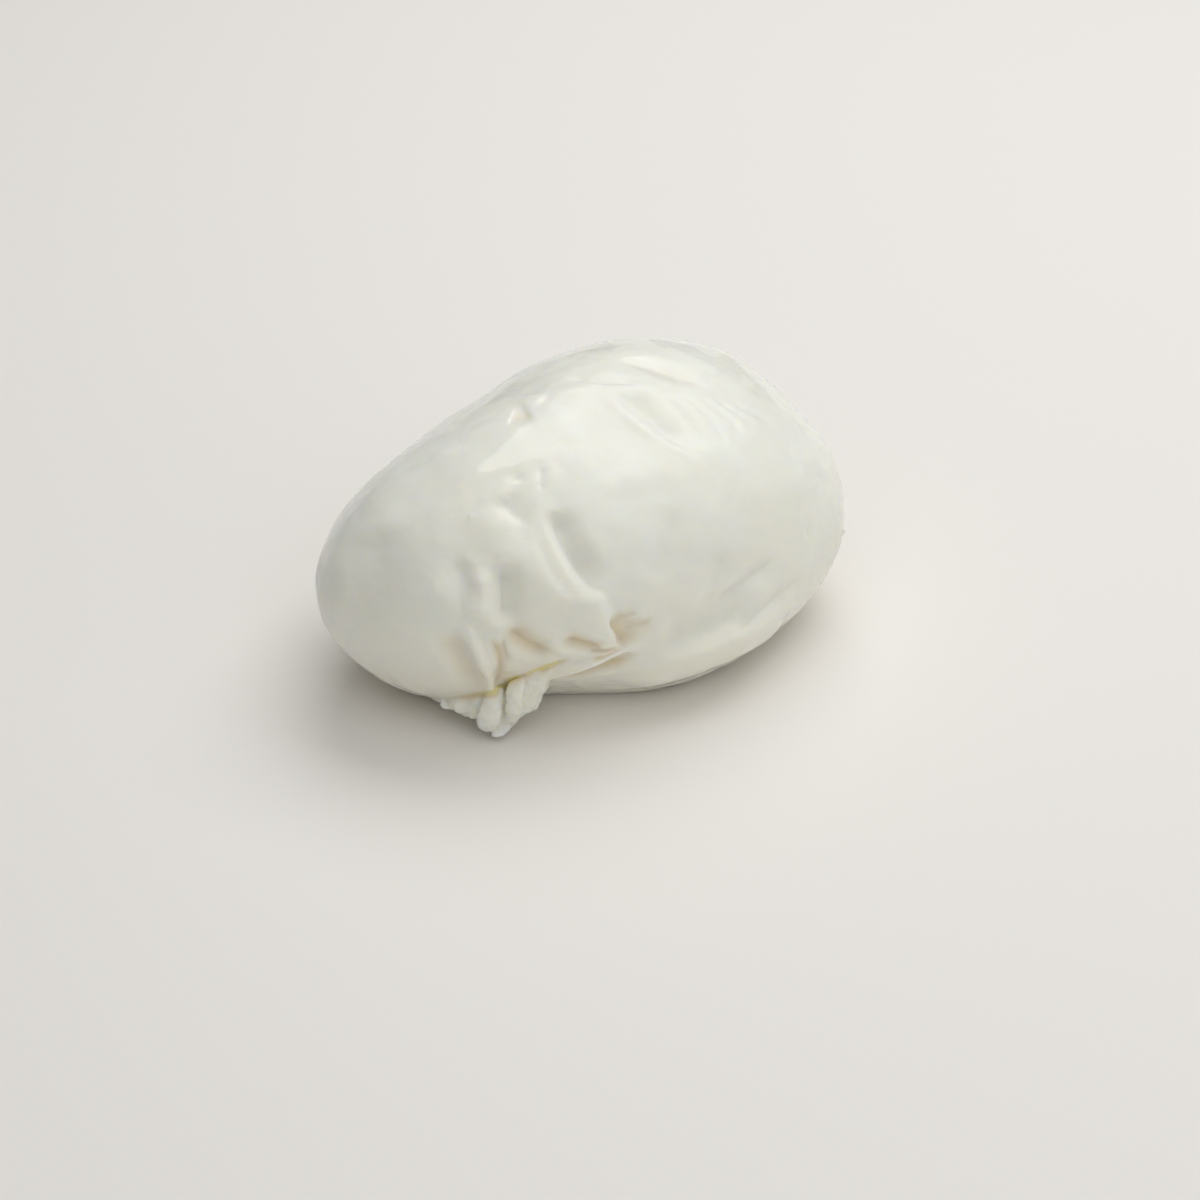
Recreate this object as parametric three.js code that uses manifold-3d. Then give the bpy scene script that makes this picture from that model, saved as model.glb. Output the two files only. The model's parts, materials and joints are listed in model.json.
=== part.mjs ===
// Burrata: a fresh stretched-curd cheese, one soft sack of curd that settles under its own
// weight. The skin is gathered low on one side at a knot. Folds run from the knot over the
// body, and the torn end of the skin sticks out of the knot as a small tuft.
//
// Millimetres, +Z up. The cheese rests on z = 0 with the origin under its middle, its long
// axis lies along X, and the knot looks towards -X and -Y.

import * as THREE from "three";
import { mergeVertices } from "three/addons/utils/BufferGeometryUtils.js";
import Module from "manifold-3d";

const wasm = await Module();
wasm.setup();

// ---- Driving dimensions -------------------------------------------------------------------

const LENGTH = 109; // of the plain ovoid, along X
const DEPTH = 70; // of the plain ovoid, along Y
const THICKNESS = 61; // of the plain ovoid, along Z
const SETTLED = 8; // how much of the thickness the resting face takes away
const OVOID_MIDDLE = [-0.2, 1.1]; // the ovoid's middle, seen from above: it is built at 0, 0

const KNOT_AZIMUTH = -131; // where the knot sits on the ovoid, in degrees from +X
const KNOT_ELEVATION = -31; // and in degrees above the level

const RINGS = 48; // rings of vertices round the knot
const SPOKES = 84; // lines of vertices that leave the knot
const RING_CROWDING = 1.12; // above 1, the rings crowd towards the knot
const SPOKE_CROWDING = 0.45; // share by which the spokes stand closer at the crowded bearing
const CROWDED_BEARING = 30; // in degrees: the folds lie round it

// The sack sags and bulges: each place is moved by some millimetres, and the skin round it
// follows less and less out to the reach.
const SAGS = [
  { name: "crown", at: [24, 17, 46], by: [1.4, 1.8, 3.8], reach: 40 },
  { name: "left_back_flank", at: [-30, 22, 38], by: [0.9, -1.8, -1.6], reach: 42 },
  { name: "right_haunch", at: [42, -20, 12], by: [2.2, -2.6, -0.7], reach: 34 },
  { name: "knot_side", at: [-22, -24, 4], by: [1.6, 3.6, 0.8], reach: 24 },
  { name: "front_foot", at: [16, -30, 6], by: [0.4, -3.5, -0.7], reach: 30 },
  { name: "back_shoulder", at: [40, 20, 34], by: [1.3, 1.3, 1.1], reach: 30 },
];

// Folds in the skin. A place is [turn, bearing] in degrees: the turn is the angle away from
// the knot, and the bearing goes clockwise round the knot from straight up. The rise is the
// height of the crest, below zero for a valley. Left and right are its widths from crest to
// foot, seen from outside on the way along it. A sharp one is pointed on top.
const FOLDS = [
  // The front, from the right down to the knot.
  {
    name: "great_crease", from: [80, 8], over: [67, 16], to: [53, 30],
    rise: -2.1, left: 5.8, right: 2.4, sharp: true,
  },
  { name: "great_crest", from: [72, 6], over: [60, 12], to: [48, 26], rise: 0.8, left: 2.4, right: 8 },
  { name: "flap_edge", from: [56, 28], over: [48, 34], to: [39, 54], rise: 1, left: 3, right: 8 },
  {
    name: "saddle", from: [84, -5], over: [78, 0], to: [74, 6],
    rise: -0.8, left: 6, right: 5, sharp: true,
  },
  { name: "saddle_crest", from: [82, -8], over: [74, -1], to: [69, 8], rise: 0.3, left: 4, right: 7 },
  {
    name: "upright_crease", from: [63, 1], over: [52, 4], to: [40, 7],
    rise: -2.2, left: 5, right: 2.5, sharp: true,
  },
  { name: "upright_crest", from: [62, -4], over: [52, -2], to: [42, 0], rise: 0.9, left: 2.4, right: 4 },
  { name: "slant_crease", from: [64, -13], over: [57, -7], to: [46, 0], rise: -0.6, left: 3.6, right: 5 },
  { name: "slant_crest", from: [62, -17], over: [53, -10], to: [44, -3], rise: 0.3, left: 4, right: 8 },
  {
    name: "first_cross_crease", from: [42, 7], over: [35, 17], to: [29, 33],
    rise: -1.9, left: 4.2, right: 3.2, sharp: true,
  },
  {
    name: "second_cross_crease", from: [38, 28], over: [36, 39], to: [35, 50],
    rise: -1.4, left: 3.4, right: 2.2, sharp: true,
  },
  // Round the knot.
  { name: "neck_pleat", from: [44, -8], over: [26, 1], to: [-4, 10], rise: 1.1, left: 1.5, right: 3 },
  {
    name: "neck_hollow", from: [42, -13], over: [27, -10], to: [8, -12],
    rise: -1.2, left: 3.6, right: 4.6,
  },
  {
    name: "pleat_crease", from: [38, 2], over: [25, 9], to: [2, 16],
    rise: -1, left: 2.6, right: 1.4, sharp: true,
  },
  {
    name: "ledge_groove", from: [4, 18], over: [17, 34], to: [30, 42],
    rise: -0.7, left: 1.7, right: 1, sharp: true,
  },
  { name: "ledge", from: [9, 44], over: [23, 49], to: [38, 55], rise: 1.3, left: 1.8, right: 2.8 },
  {
    name: "under_ledge", from: [14, 68], over: [25, 65], to: [37, 66],
    rise: -1.3, left: 2.6, right: 2.6, sharp: true,
  },
  {
    name: "pocket", from: [48, 37], over: [42, 47], to: [37, 57],
    rise: -1.7, left: 5.6, right: 1.4, sharp: true,
  },
  {
    name: "pocket_roof", from: [44, 46], over: [46, 49], to: [50, 52],
    rise: -0.4, left: 1.4, right: 4.4, sharp: true,
  },
  // The foot and the right flank.
  { name: "foot_roll", from: [24, 92], over: [44, 85], to: [74, 94], rise: 1.9, left: 7, right: 9 },
  { name: "foot_step", from: [43, 62], over: [51, 71], to: [66, 76], rise: -2, left: 7, right: 4.5 },
  {
    name: "low_flank_crease", from: [76, 86], over: [62, 81], to: [54, 82],
    rise: -1, left: 3.4, right: 2.6, sharp: true,
  },
  {
    name: "high_flank_crease", from: [76, 71], over: [66, 68], to: [57, 70],
    rise: -1.1, left: 3.8, right: 2.8, sharp: true,
  },
  {
    name: "flank_line", from: [84, 34], over: [71, 39], to: [54, 47],
    rise: -0.8, left: 7, right: 5, sharp: true,
  },
  {
    name: "flank_crease", from: [74, 53], over: [64, 59], to: [53, 66],
    rise: -1, left: 6, right: 4.5, sharp: true,
  },
  // The crown.
  {
    name: "crown_crease", from: [137, 2], over: [131, 18], to: [125, 36],
    rise: -0.9, left: 6, right: 4, sharp: true,
  },
  {
    name: "crown_edge", from: [120, 10], over: [112, 20], to: [101, 32],
    rise: -0.7, left: 5.5, right: 2.6, sharp: true,
  },
  { name: "crown_ridge", from: [121, -13], over: [122, 8], to: [119, 30], rise: 0.3, left: 3.4, right: 3 },
  { name: "dimple", from: [116, -17], over: [115, -14], to: [115, -10], rise: -0.9, left: 3.2, right: 3.6 },
  // The left.
  { name: "left_hollow", from: [80, -39], over: [63, -35], to: [47, -30], rise: -0.9, left: 10, right: 10 },
];

// Torn petals of the tuft. Each is spread between two root corners, in the knot or on the
// ledge, and two tip corners, left and right as seen from outside. The bulge is how far its
// middle stands out of their plane, the belly is how much wider its middle is, as a share, and
// the ruffle is how far its face swings to and fro.
const PETALS = [
  {
    name: "neck", leftRoot: [-26, -14, 8], rightRoot: [-22, -20, 9.5],
    leftTip: [-33.2, -20.7, 7.8], rightTip: [-29.2, -24, 8.6],
    bulge: 0.5, thickness: 6.2, belly: 0.1, ruffle: 0, waves: 1.5,
  },
  {
    name: "left_petal", leftRoot: [-31.7, -21.5, 10.2], rightRoot: [-34, -21.8, 5],
    leftTip: [-38.6, -14.8, 6.2], rightTip: [-38.3, -16.6, 4.6],
    bulge: 0.6, thickness: 1.8, belly: 0.15, ruffle: 0.9, waves: 2.1,
  },
  {
    name: "left_scrap", leftRoot: [-33.1, -21.3, 6.4], rightRoot: [-34.2, -21.8, 4.2],
    leftTip: [-36.9, -17.6, 5], rightTip: [-35.7, -19.7, 3.7],
    bulge: 0.4, thickness: 1.3, belly: 0.2, ruffle: 0.4, waves: 1,
  },
  {
    name: "tongue", leftRoot: [-32.8, -22.2, 10.6], rightRoot: [-29.8, -23.8, 11],
    leftTip: [-35.8, -22.2, 2.8], rightTip: [-31.8, -24.1, 1.8],
    bulge: 1.2, thickness: 3, belly: 0.08, ruffle: 0, waves: 1.5,
  },
  {
    name: "channel", leftRoot: [-30.9, -22.8, 9.4], rightRoot: [-28.4, -24.5, 10.4],
    leftTip: [-32.2, -22.8, 1.8], rightTip: [-28.5, -23.9, 2.6],
    bulge: 0.4, thickness: 2, belly: 0.1, ruffle: 0.3, waves: 1.5,
  },
  {
    name: "right_petal", leftRoot: [-28.1, -23.9, 13.3], rightRoot: [-21.2, -29.1, 17.4],
    leftTip: [-29.1, -23.9, 3.8], rightTip: [-25.9, -24.6, 4.2],
    bulge: 1.6, thickness: 2.2, belly: 0.1, ruffle: 0.3, waves: 1.6,
  },
  {
    name: "inner_petal", leftRoot: [-29.4, -24.5, 12.2], rightRoot: [-26.8, -26.6, 14.2],
    leftTip: [-29.7, -23.8, 3.6], rightTip: [-27.4, -24.9, 4.1],
    bulge: 2.2, thickness: 2.2, belly: 0.1, ruffle: 0.4, waves: 1.3,
  },
  {
    name: "far_scrap", leftRoot: [-24.6, -26.6, 14.2], rightRoot: [-21, -28.4, 15.8],
    leftTip: [-26, -23.8, 4], rightTip: [-23.9, -25.2, 4.8],
    bulge: 0.6, thickness: 1.4, belly: 0.15, ruffle: 0.5, waves: 1.4,
  },
  {
    name: "lower_petal", leftRoot: [-31, -22.6, 4.4], rightRoot: [-26.6, -23.4, 4.6],
    leftTip: [-33.2, -24.5, 1.3], rightTip: [-29.8, -24.9, 1.3],
    bulge: 0.6, thickness: 1.4, belly: 0.1, ruffle: 0.5, waves: 1.2,
  },
  {
    name: "back_flap", leftRoot: [-35, -14.2, 6.2], rightRoot: [-35.8, -16, 4.4],
    leftTip: [-39.2, -9.6, 4.3], rightTip: [-38.8, -12.8, 3.4],
    bulge: 0.4, thickness: 1, belly: 0.1, ruffle: 0.3, waves: 1,
  },
];

const PETAL_STEPS = 7; // steps between the cross-sections of a petal
const PETAL_SIDES = 10; // corners of each cross-section
const FOLD_STEPS = 24; // steps along a fold's crest
const FOLD_FADE = 0.3; // share of a fold's length over which each end dies away

const HALF_SIZES = new THREE.Vector3(LENGTH / 2, DEPTH / 2, THICKNESS / 2);
const CENTRE = new THREE.Vector3(0, 0, THICKNESS / 2 - SETTLED);

// ---- The sack -----------------------------------------------------------------------------

// Weight of a sag: 1 at its place, and easing to 0 at its reach (t = 1).
function ease(t) {
  const left = THREE.MathUtils.clamp(1 - t, 0, 1);
  return left * left * (3 - 2 * left);
}

// Weight of a fold across its width, flat at its foot (t = 1): round or pointed on top.
function profile(t, sharp) {
  return sharp ? (1 - t) ** 2 * (1 + t) : (1 - t * t) ** 2;
}

// The knot's own directions on the unit sphere: out of the knot, up and to the right.
function knotFrame() {
  const azimuth = THREE.MathUtils.degToRad(KNOT_AZIMUTH);
  const elevation = THREE.MathUtils.degToRad(KNOT_ELEVATION);
  const level = Math.cos(elevation);
  const out = new THREE.Vector3(
    level * Math.cos(azimuth),
    level * Math.sin(azimuth),
    Math.sin(elevation),
  );
  const up = new THREE.Vector3(0, 0, 1).addScaledVector(out, -out.z).normalize();
  const right = new THREE.Vector3().crossVectors(up, out);
  return { out, up, right };
}

const KNOT = knotFrame();

// Direction on the unit sphere that lies a turn away from the knot along a bearing.
function direction([turn, bearing]) {
  const away = THREE.MathUtils.degToRad(turn);
  const round = THREE.MathUtils.degToRad(bearing);
  return new THREE.Vector3()
    .addScaledVector(KNOT.out, Math.cos(away))
    .addScaledVector(KNOT.up, Math.sin(away) * Math.cos(round))
    .addScaledVector(KNOT.right, Math.sin(away) * Math.sin(round));
}

// Where a direction meets the ovoid after every sag has moved it, one sag after the other.
function sagged(toward) {
  const place = toward.clone().multiply(HALF_SIZES).add(CENTRE);
  for (const { at, by, reach } of SAGS) {
    const weight = ease(place.distanceTo(new THREE.Vector3(...at)) / reach);
    place.addScaledVector(new THREE.Vector3(...by), weight);
  }
  return place;
}

// Places of all vertices of the sack: the knot, the rings round it, and the far pole.
function sackPlaces() {
  const places = [sagged(direction([0, 0]))];
  for (let ring = 1; ring < RINGS; ring += 1) {
    const turn = 180 * (ring / RINGS) ** RING_CROWDING;
    for (let spoke = 0; spoke < SPOKES; spoke += 1) {
      const round = (2 * Math.PI * spoke) / SPOKES;
      const crowded = round - SPOKE_CROWDING * Math.sin(round);
      places.push(sagged(direction([turn, CROWDED_BEARING + THREE.MathUtils.radToDeg(crowded)])));
    }
  }
  places.push(sagged(direction([180, 0])));
  return places;
}

// Triangles between the rings, wound so that the faces look out.
function sackTriangles() {
  const last = 1 + (RINGS - 1) * SPOKES;
  const vertex = (ring, spoke) => 1 + (ring - 1) * SPOKES + (spoke % SPOKES);
  const triangles = [];
  for (let spoke = 0; spoke < SPOKES; spoke += 1) {
    triangles.push(0, vertex(1, spoke + 1), vertex(1, spoke));
    for (let ring = 1; ring < RINGS - 1; ring += 1) {
      const near = vertex(ring, spoke);
      const nearNext = vertex(ring, spoke + 1);
      const far = vertex(ring + 1, spoke);
      const farNext = vertex(ring + 1, spoke + 1);
      triangles.push(near, nearNext, farNext, near, farNext, far);
    }
    triangles.push(last, vertex(RINGS - 1, spoke), vertex(RINGS - 1, spoke + 1));
  }
  return triangles;
}

// Crest of a fold: the steps along it on the sagged sack, each with the way out of the skin.
function crest(fold) {
  const [start, middle, end] = [fold.from, fold.over, fold.to].map(direction);
  const corner = middle.clone().multiplyScalar(2).addScaledVector(start, -0.5);
  corner.addScaledVector(end, -0.5);
  const bend = new THREE.QuadraticBezierCurve3(start, corner, end);
  return bend.getPoints(FOLD_STEPS).map((point) => {
    const toward = point.normalize();
    return { place: sagged(toward), out: toward.clone().divide(HALF_SIZES).normalize() };
  });
}

// How much of a fold is left at a share (0 to 1) of its length.
function fade(share) {
  const inward = Math.min(share, 1 - share) / FOLD_FADE;
  return ease(1 - Math.min(inward, 1));
}

// Height that one fold gives to a place of the sack, by its distance from the crest.
function foldHeight(place, fold, steps) {
  let nearest = { distance: Infinity };
  for (let step = 0; step < FOLD_STEPS; step += 1) {
    const piece = new THREE.Line3(steps[step].place, steps[step + 1].place);
    const share = piece.closestPointToPointParameter(place, true);
    const foot = piece.at(share, new THREE.Vector3());
    const distance = foot.distanceTo(place);
    if (distance < nearest.distance) {
      nearest = { distance, foot, piece, out: steps[step].out, share: (step + share) / FOLD_STEPS };
    }
  }
  const ahead = nearest.piece.delta(new THREE.Vector3());
  const right = ahead.cross(nearest.out);
  const aside = place.clone().sub(nearest.foot);
  const width = aside.dot(right) > 0 ? fold.right : fold.left;
  const across = Math.min(nearest.distance / width, 1);
  return fold.rise * profile(across, fold.sharp) * fade(nearest.share);
}

// The sack with its folds: every vertex goes out or in along the skin's normal.
function sackGeometry() {
  const smooth = meshGeometry(sackPlaces(), sackTriangles());
  smooth.computeVertexNormals();
  const position = smooth.getAttribute("position");
  const normal = smooth.getAttribute("normal");
  const crests = FOLDS.map(crest);
  const places = [];
  for (let index = 0; index < position.count; index += 1) {
    const place = new THREE.Vector3().fromBufferAttribute(position, index);
    const out = new THREE.Vector3().fromBufferAttribute(normal, index);
    const height = FOLDS.reduce((sum, fold, k) => sum + foldHeight(place, fold, crests[k]), 0);
    places.push(place.addScaledVector(out, height));
  }
  return meshGeometry(places, sackTriangles());
}

// ---- The tuft -----------------------------------------------------------------------------

// One cross-section of a petal, at a share (0 to 1) of the way to its tip: its middle, its
// directions across and out of the face, and its half sizes along them.
function petalSection(petal, share) {
  const [leftRoot, rightRoot, leftTip, rightTip] = [
    petal.leftRoot, petal.rightRoot, petal.leftTip, petal.rightTip,
  ].map((corner) => new THREE.Vector3(...corner));
  const left = leftRoot.clone().lerp(leftTip, share);
  const right = rightRoot.clone().lerp(rightTip, share);
  const way = leftTip.add(rightTip).sub(leftRoot).sub(rightRoot).multiplyScalar(0.5);
  const across = right.clone().sub(left).normalize();
  const face = way.clone().cross(across).normalize();
  const lean = way.addScaledVector(face, petal.bulge * 4 * (1 - 2 * share));
  const out = lean.cross(across).normalize();
  const hump = 4 * share * (1 - share);
  const swing = petal.ruffle * share * Math.sin(2 * Math.PI * petal.waves * share);
  return {
    middle: left.clone().lerp(right, 0.5).addScaledVector(face, petal.bulge * hump + swing),
    across: across.multiplyScalar((left.distanceTo(right) / 2) * (1 + petal.belly * hump)),
    out: out.multiplyScalar(petal.thickness / 2),
  };
}

// One torn petal: flat cross-sections from its root to its tip, closed at both ends.
function petalGeometry(petal) {
  const places = [petalSection(petal, 0).middle];
  for (let step = 0; step <= PETAL_STEPS; step += 1) {
    const { middle, across, out } = petalSection(petal, step / PETAL_STEPS);
    for (let corner = 0; corner < PETAL_SIDES; corner += 1) {
      const angle = (2 * Math.PI * corner) / PETAL_SIDES;
      const place = middle.clone().addScaledVector(across, Math.cos(angle));
      places.push(place.addScaledVector(out, Math.sin(angle)));
    }
  }
  places.push(petalSection(petal, 1).middle);
  return meshGeometry(places, petalTriangles());
}

// Triangles of a petal, from the middle of its root over its cross-sections to its tip.
function petalTriangles() {
  const last = 1 + (PETAL_STEPS + 1) * PETAL_SIDES;
  const vertex = (step, corner) => 1 + step * PETAL_SIDES + (corner % PETAL_SIDES);
  const triangles = [];
  for (let corner = 0; corner < PETAL_SIDES; corner += 1) {
    triangles.push(0, vertex(0, corner + 1), vertex(0, corner));
    for (let step = 0; step < PETAL_STEPS; step += 1) {
      const near = vertex(step, corner);
      const nearNext = vertex(step, corner + 1);
      const far = vertex(step + 1, corner);
      const farNext = vertex(step + 1, corner + 1);
      triangles.push(near, nearNext, farNext, near, farNext, far);
    }
    triangles.push(last, vertex(PETAL_STEPS, corner), vertex(PETAL_STEPS, corner + 1));
  }
  return triangles;
}

// ---- Joining ------------------------------------------------------------------------------

// A geometry from vertex places and triangle corners.
function meshGeometry(places, triangles) {
  const geometry = new THREE.BufferGeometry();
  geometry.setFromPoints(places);
  geometry.setIndex(triangles);
  return geometry;
}

// A closed geometry as a manifold-3d solid.
function toSolid(geometry) {
  const bare = geometry.clone();
  bare.deleteAttribute("normal");
  bare.deleteAttribute("uv");
  const merged = mergeVertices(bare);
  const mesh = new wasm.Mesh({
    numProp: 3,
    vertProperties: new Float32Array(merged.getAttribute("position").array),
    triVerts: new Uint32Array(merged.getIndex().array),
  });
  return new wasm.Manifold(mesh);
}

// A manifold-3d solid as a geometry.
function toGeometry(solid) {
  const mesh = solid.getMesh();
  const geometry = new THREE.BufferGeometry();
  geometry.setAttribute("position", new THREE.BufferAttribute(mesh.vertProperties, 3));
  geometry.setIndex(new THREE.BufferAttribute(mesh.triVerts, 1));
  geometry.computeVertexNormals();
  return geometry;
}

// All that lies below the table: cutting it away leaves the flat resting face.
function belowTable() {
  const depth = THICKNESS;
  const box = new THREE.BoxGeometry(2 * LENGTH, 2 * LENGTH, depth);
  box.translate(0, 0, -depth / 2);
  return box;
}

// The whole cheese: the sack with its tuft, flat where it rests, over the origin.
function cheeseGeometry() {
  let solid = toSolid(sackGeometry());
  for (const petal of PETALS) {
    solid = solid.add(toSolid(petalGeometry(petal)));
  }
  const whole = toGeometry(solid.subtract(toSolid(belowTable())));
  return whole.translate(...OVOID_MIDDLE, 0);
}

function cheeseMaterial() {
  return new THREE.MeshStandardMaterial({ color: 0xdedfd6, roughness: 0.22, metalness: 0 });
}

function burrata() {
  const cheese = new THREE.Mesh(cheeseGeometry(), cheeseMaterial());
  cheese.name = "cheese";
  const group = new THREE.Group();
  group.add(cheese);
  return group;
}

export default burrata();
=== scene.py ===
"""A burrata at rest: a soft sack of fresh curd with a gathered knot and a small torn tuft.

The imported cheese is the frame. The sack and its tuft are modelled finely over it, given a
wet curd finish, and set on a pale studio floor under soft light. Lengths are in metres.
"""

import json
import logging
import math
from contextlib import contextmanager
from dataclasses import dataclass, field, replace
from enum import Enum
from typing import Iterable, Iterator

import bpy
from mathutils import Matrix, Vector
from mathutils.bvhtree import BVHTree
from mathutils.geometry import intersect_point_line
from mathutils.kdtree import KDTree

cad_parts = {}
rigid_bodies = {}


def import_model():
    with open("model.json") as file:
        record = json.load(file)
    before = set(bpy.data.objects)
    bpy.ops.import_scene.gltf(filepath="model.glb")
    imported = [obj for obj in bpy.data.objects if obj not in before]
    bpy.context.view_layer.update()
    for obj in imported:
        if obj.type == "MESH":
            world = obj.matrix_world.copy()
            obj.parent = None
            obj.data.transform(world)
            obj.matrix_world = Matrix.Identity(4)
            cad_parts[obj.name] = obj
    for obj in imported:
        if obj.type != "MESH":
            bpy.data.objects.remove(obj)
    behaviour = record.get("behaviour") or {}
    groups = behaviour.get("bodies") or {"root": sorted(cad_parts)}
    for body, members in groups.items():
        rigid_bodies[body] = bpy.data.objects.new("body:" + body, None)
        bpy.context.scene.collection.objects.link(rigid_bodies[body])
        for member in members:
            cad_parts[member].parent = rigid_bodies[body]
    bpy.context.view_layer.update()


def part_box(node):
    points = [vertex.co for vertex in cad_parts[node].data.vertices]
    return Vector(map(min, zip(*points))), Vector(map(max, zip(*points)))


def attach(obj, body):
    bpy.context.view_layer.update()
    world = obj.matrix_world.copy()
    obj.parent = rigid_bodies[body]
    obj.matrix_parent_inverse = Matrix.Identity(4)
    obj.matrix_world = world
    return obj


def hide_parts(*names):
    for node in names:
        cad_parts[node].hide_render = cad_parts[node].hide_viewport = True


CHEESE_NODE = "cheese"

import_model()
CAD_LOW, CAD_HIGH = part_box(CHEESE_NODE)
CAD_SIZE = CAD_HIGH - CAD_LOW

LOG = logging.getLogger("burrata")
ROOT_BODY = "root"
# The tint paints shade into creases and warm reflected light at the neck and foot. Along the seam
# and round the knot it gives whey's yellow.
WHEY_AND_SHADE_TINT = "whey_and_shade_tint"
HALF_TINT = 0.5  # the tint at which the skin has the crease's colour
NOISE_MIDDLE = 0.5
PRECISION = 1e-6  # nearer than this, places count as one
EVENING = 0.5  # how far one round of evening out takes a vertex to its neighbours' middle
# Sockets of a colour Mix node.
COLOUR_A, COLOUR_B, COLOUR_RESULT = 6, 7, 2

Triple = tuple[float, float, float]
Colour = tuple[float, float, float, float]
Bearing = tuple[float, float]
Crest = list[tuple[Vector, Vector]]


# ---- Working by hand ------------------------------------------------------------------------


def take(piece: bpy.types.Object) -> None:
    """Makes one object the only selected one, and the active one.

    Args:
        piece: The object that the next operators work on.
    """
    bpy.ops.object.select_all(action="DESELECT")
    piece.select_set(True)
    bpy.context.view_layer.objects.active = piece


@contextmanager
def editing(piece: bpy.types.Object) -> Iterator[None]:
    """Opens a mesh in edit mode, with vertex selection, and closes it again.

    Args:
        piece: The mesh object to edit.
    """
    take(piece)
    bpy.ops.object.mode_set(mode="EDIT")
    bpy.ops.mesh.select_mode(type="VERT")
    try:
        yield
    finally:
        bpy.ops.object.mode_set(mode="OBJECT")


def choose_vertices(piece: bpy.types.Object, wanted: set[int]) -> None:
    """Selects some vertices of a mesh, and nothing else, ready for edit mode.

    Args:
        piece: The mesh object, in object mode.
        wanted: Indices of the vertices to select.
    """
    mesh = piece.data
    mesh.polygons.foreach_set("select", [False] * len(mesh.polygons))
    mesh.edges.foreach_set("select", [False] * len(mesh.edges))
    mesh.vertices.foreach_set("select", [i in wanted for i in range(len(mesh.vertices))])


def nearest_vertex(piece: bpy.types.Object, place: Vector) -> int:
    """Finds the vertex of a mesh that is nearest to a place.

    Args:
        piece: The mesh object.
        place: The place, in the frame's metres.

    Returns:
        The index of the nearest vertex.
    """
    return min(piece.data.vertices, key=lambda vertex: (vertex.co - place).length_squared).index


def drop_crumbs(piece: bpy.types.Object) -> None:
    """Deletes all of a mesh that doesn't hang together with its highest vertex.

    Args:
        piece: The mesh object.
    """
    choose_vertices(piece, {max(piece.data.vertices, key=lambda vertex: vertex.co.z).index})
    with editing(piece):
        bpy.ops.mesh.select_linked()
        bpy.ops.mesh.select_all(action="INVERT")
        bpy.ops.mesh.delete(type="VERT")


def apply_modifier(piece: bpy.types.Object, modifier: bpy.types.Modifier) -> None:
    """Applies one modifier of a piece.

    Args:
        piece: The object that carries the modifier.
        modifier: The modifier to apply.
    """
    take(piece)
    bpy.ops.object.modifier_apply(modifier=modifier.name)


def cut_flat(piece: bpy.types.Object, height: float) -> None:
    """Cuts off all of a closed piece that lies below a height, and closes the cut.

    Args:
        piece: The piece.
        height: The height of the cut.
    """
    with editing(piece):
        bpy.ops.mesh.select_all(action="SELECT")
        bpy.ops.mesh.bisect(
            plane_co=(0, 0, height),
            plane_no=(0, 0, 1),
            use_fill=True,
            clear_inner=True,
            threshold=PRECISION,
        )


def tree_of(places: Iterable[Vector]) -> KDTree:
    """Sorts places in space, for finding those near a point.

    Args:
        places: The places, whose order gives their indices.

    Returns:
        A balanced tree.
    """
    listed = list(places)
    tree = KDTree(len(listed))
    for index, place in enumerate(listed):
        tree.insert(place, index)
    tree.balance()
    return tree


def vertex_tree(piece: bpy.types.Object) -> KDTree:
    """Sorts the vertices of a mesh by place."""
    return tree_of(vertex.co for vertex in piece.data.vertices)


def push(
    piece: bpy.types.Object,
    rise: float,
    weights: dict[int, float] | None = None,
    texture: bpy.types.Texture | None = None,
) -> None:
    """Moves the skin of a piece along its normals.

    Args:
        piece: The mesh object.
        rise: How far, below zero for inwards.
        weights: Shares of the rise by vertex index. Without it, the whole piece moves.
        texture: A pattern that moves the skin both ways about its middle value.
    """
    modifier = piece.modifiers.new("push", "DISPLACE")
    modifier.strength = rise
    modifier.mid_level = 0
    if texture is not None:
        modifier.texture = texture
        modifier.texture_coords = "LOCAL"
        modifier.mid_level = NOISE_MIDDLE
    if weights is not None:
        group = piece.vertex_groups.new(name="push")
        for index, weight in weights.items():
            group.add([index], weight, "REPLACE")
        modifier.vertex_group = group.name
    apply_modifier(piece, modifier)
    piece.vertex_groups.clear()


def clouds(name: str, size: float, depth: int = 2) -> bpy.types.Texture:
    """Makes a soft uneven pattern.

    Args:
        name: The pattern's name.
        size: Length of its lumps.
        depth: How many finer layers it has.

    Returns:
        The pattern.
    """
    texture = bpy.data.textures.new(name, "CLOUDS")
    texture.noise_scale = size
    texture.noise_depth = depth
    return texture


# ---- The sack -------------------------------------------------------------------------------


class Profile(Enum):
    """Shape of a fold across its width."""

    ROUND = "round on top, flat at its foot"
    SHARP = "pointed on top, flat at its foot"

    def weight(self, t: float) -> float:
        """Gives the height at t, a share (0 to 1) of the width, as a share of the rise."""
        return (1 - t * t) ** 2 if self is Profile.ROUND else (1 - t) ** 2 * (1 + t)


# How far from a fold's crest the skin is split, as shares of the fold's width.
SHARP_SPLIT, ROUND_SPLIT, FINE_SPLIT = 0.5, 0.25, 0.5
FINE_WIDTH = 0.0036  # folds narrower than this are fine
SEARCH_MARGIN = 1.1  # how much wider than a fold the skin near it is searched


def ease(t: float) -> float:
    """Eases from 1 at t = 0 to 0 at t = 1 and beyond."""
    left = min(max(1 - t, 0), 1)
    return left * left * (3 - 2 * left)


@dataclass(frozen=True)
class Sag:
    """A place of the skin that is moved, and the skin round it with it.

    Attributes:
        at: The place, from the ovoid's middle on the table.
        by: How far it moves.
        reach: Distance at which the skin no longer follows.
    """

    at: Triple
    by: Triple
    reach: float


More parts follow.
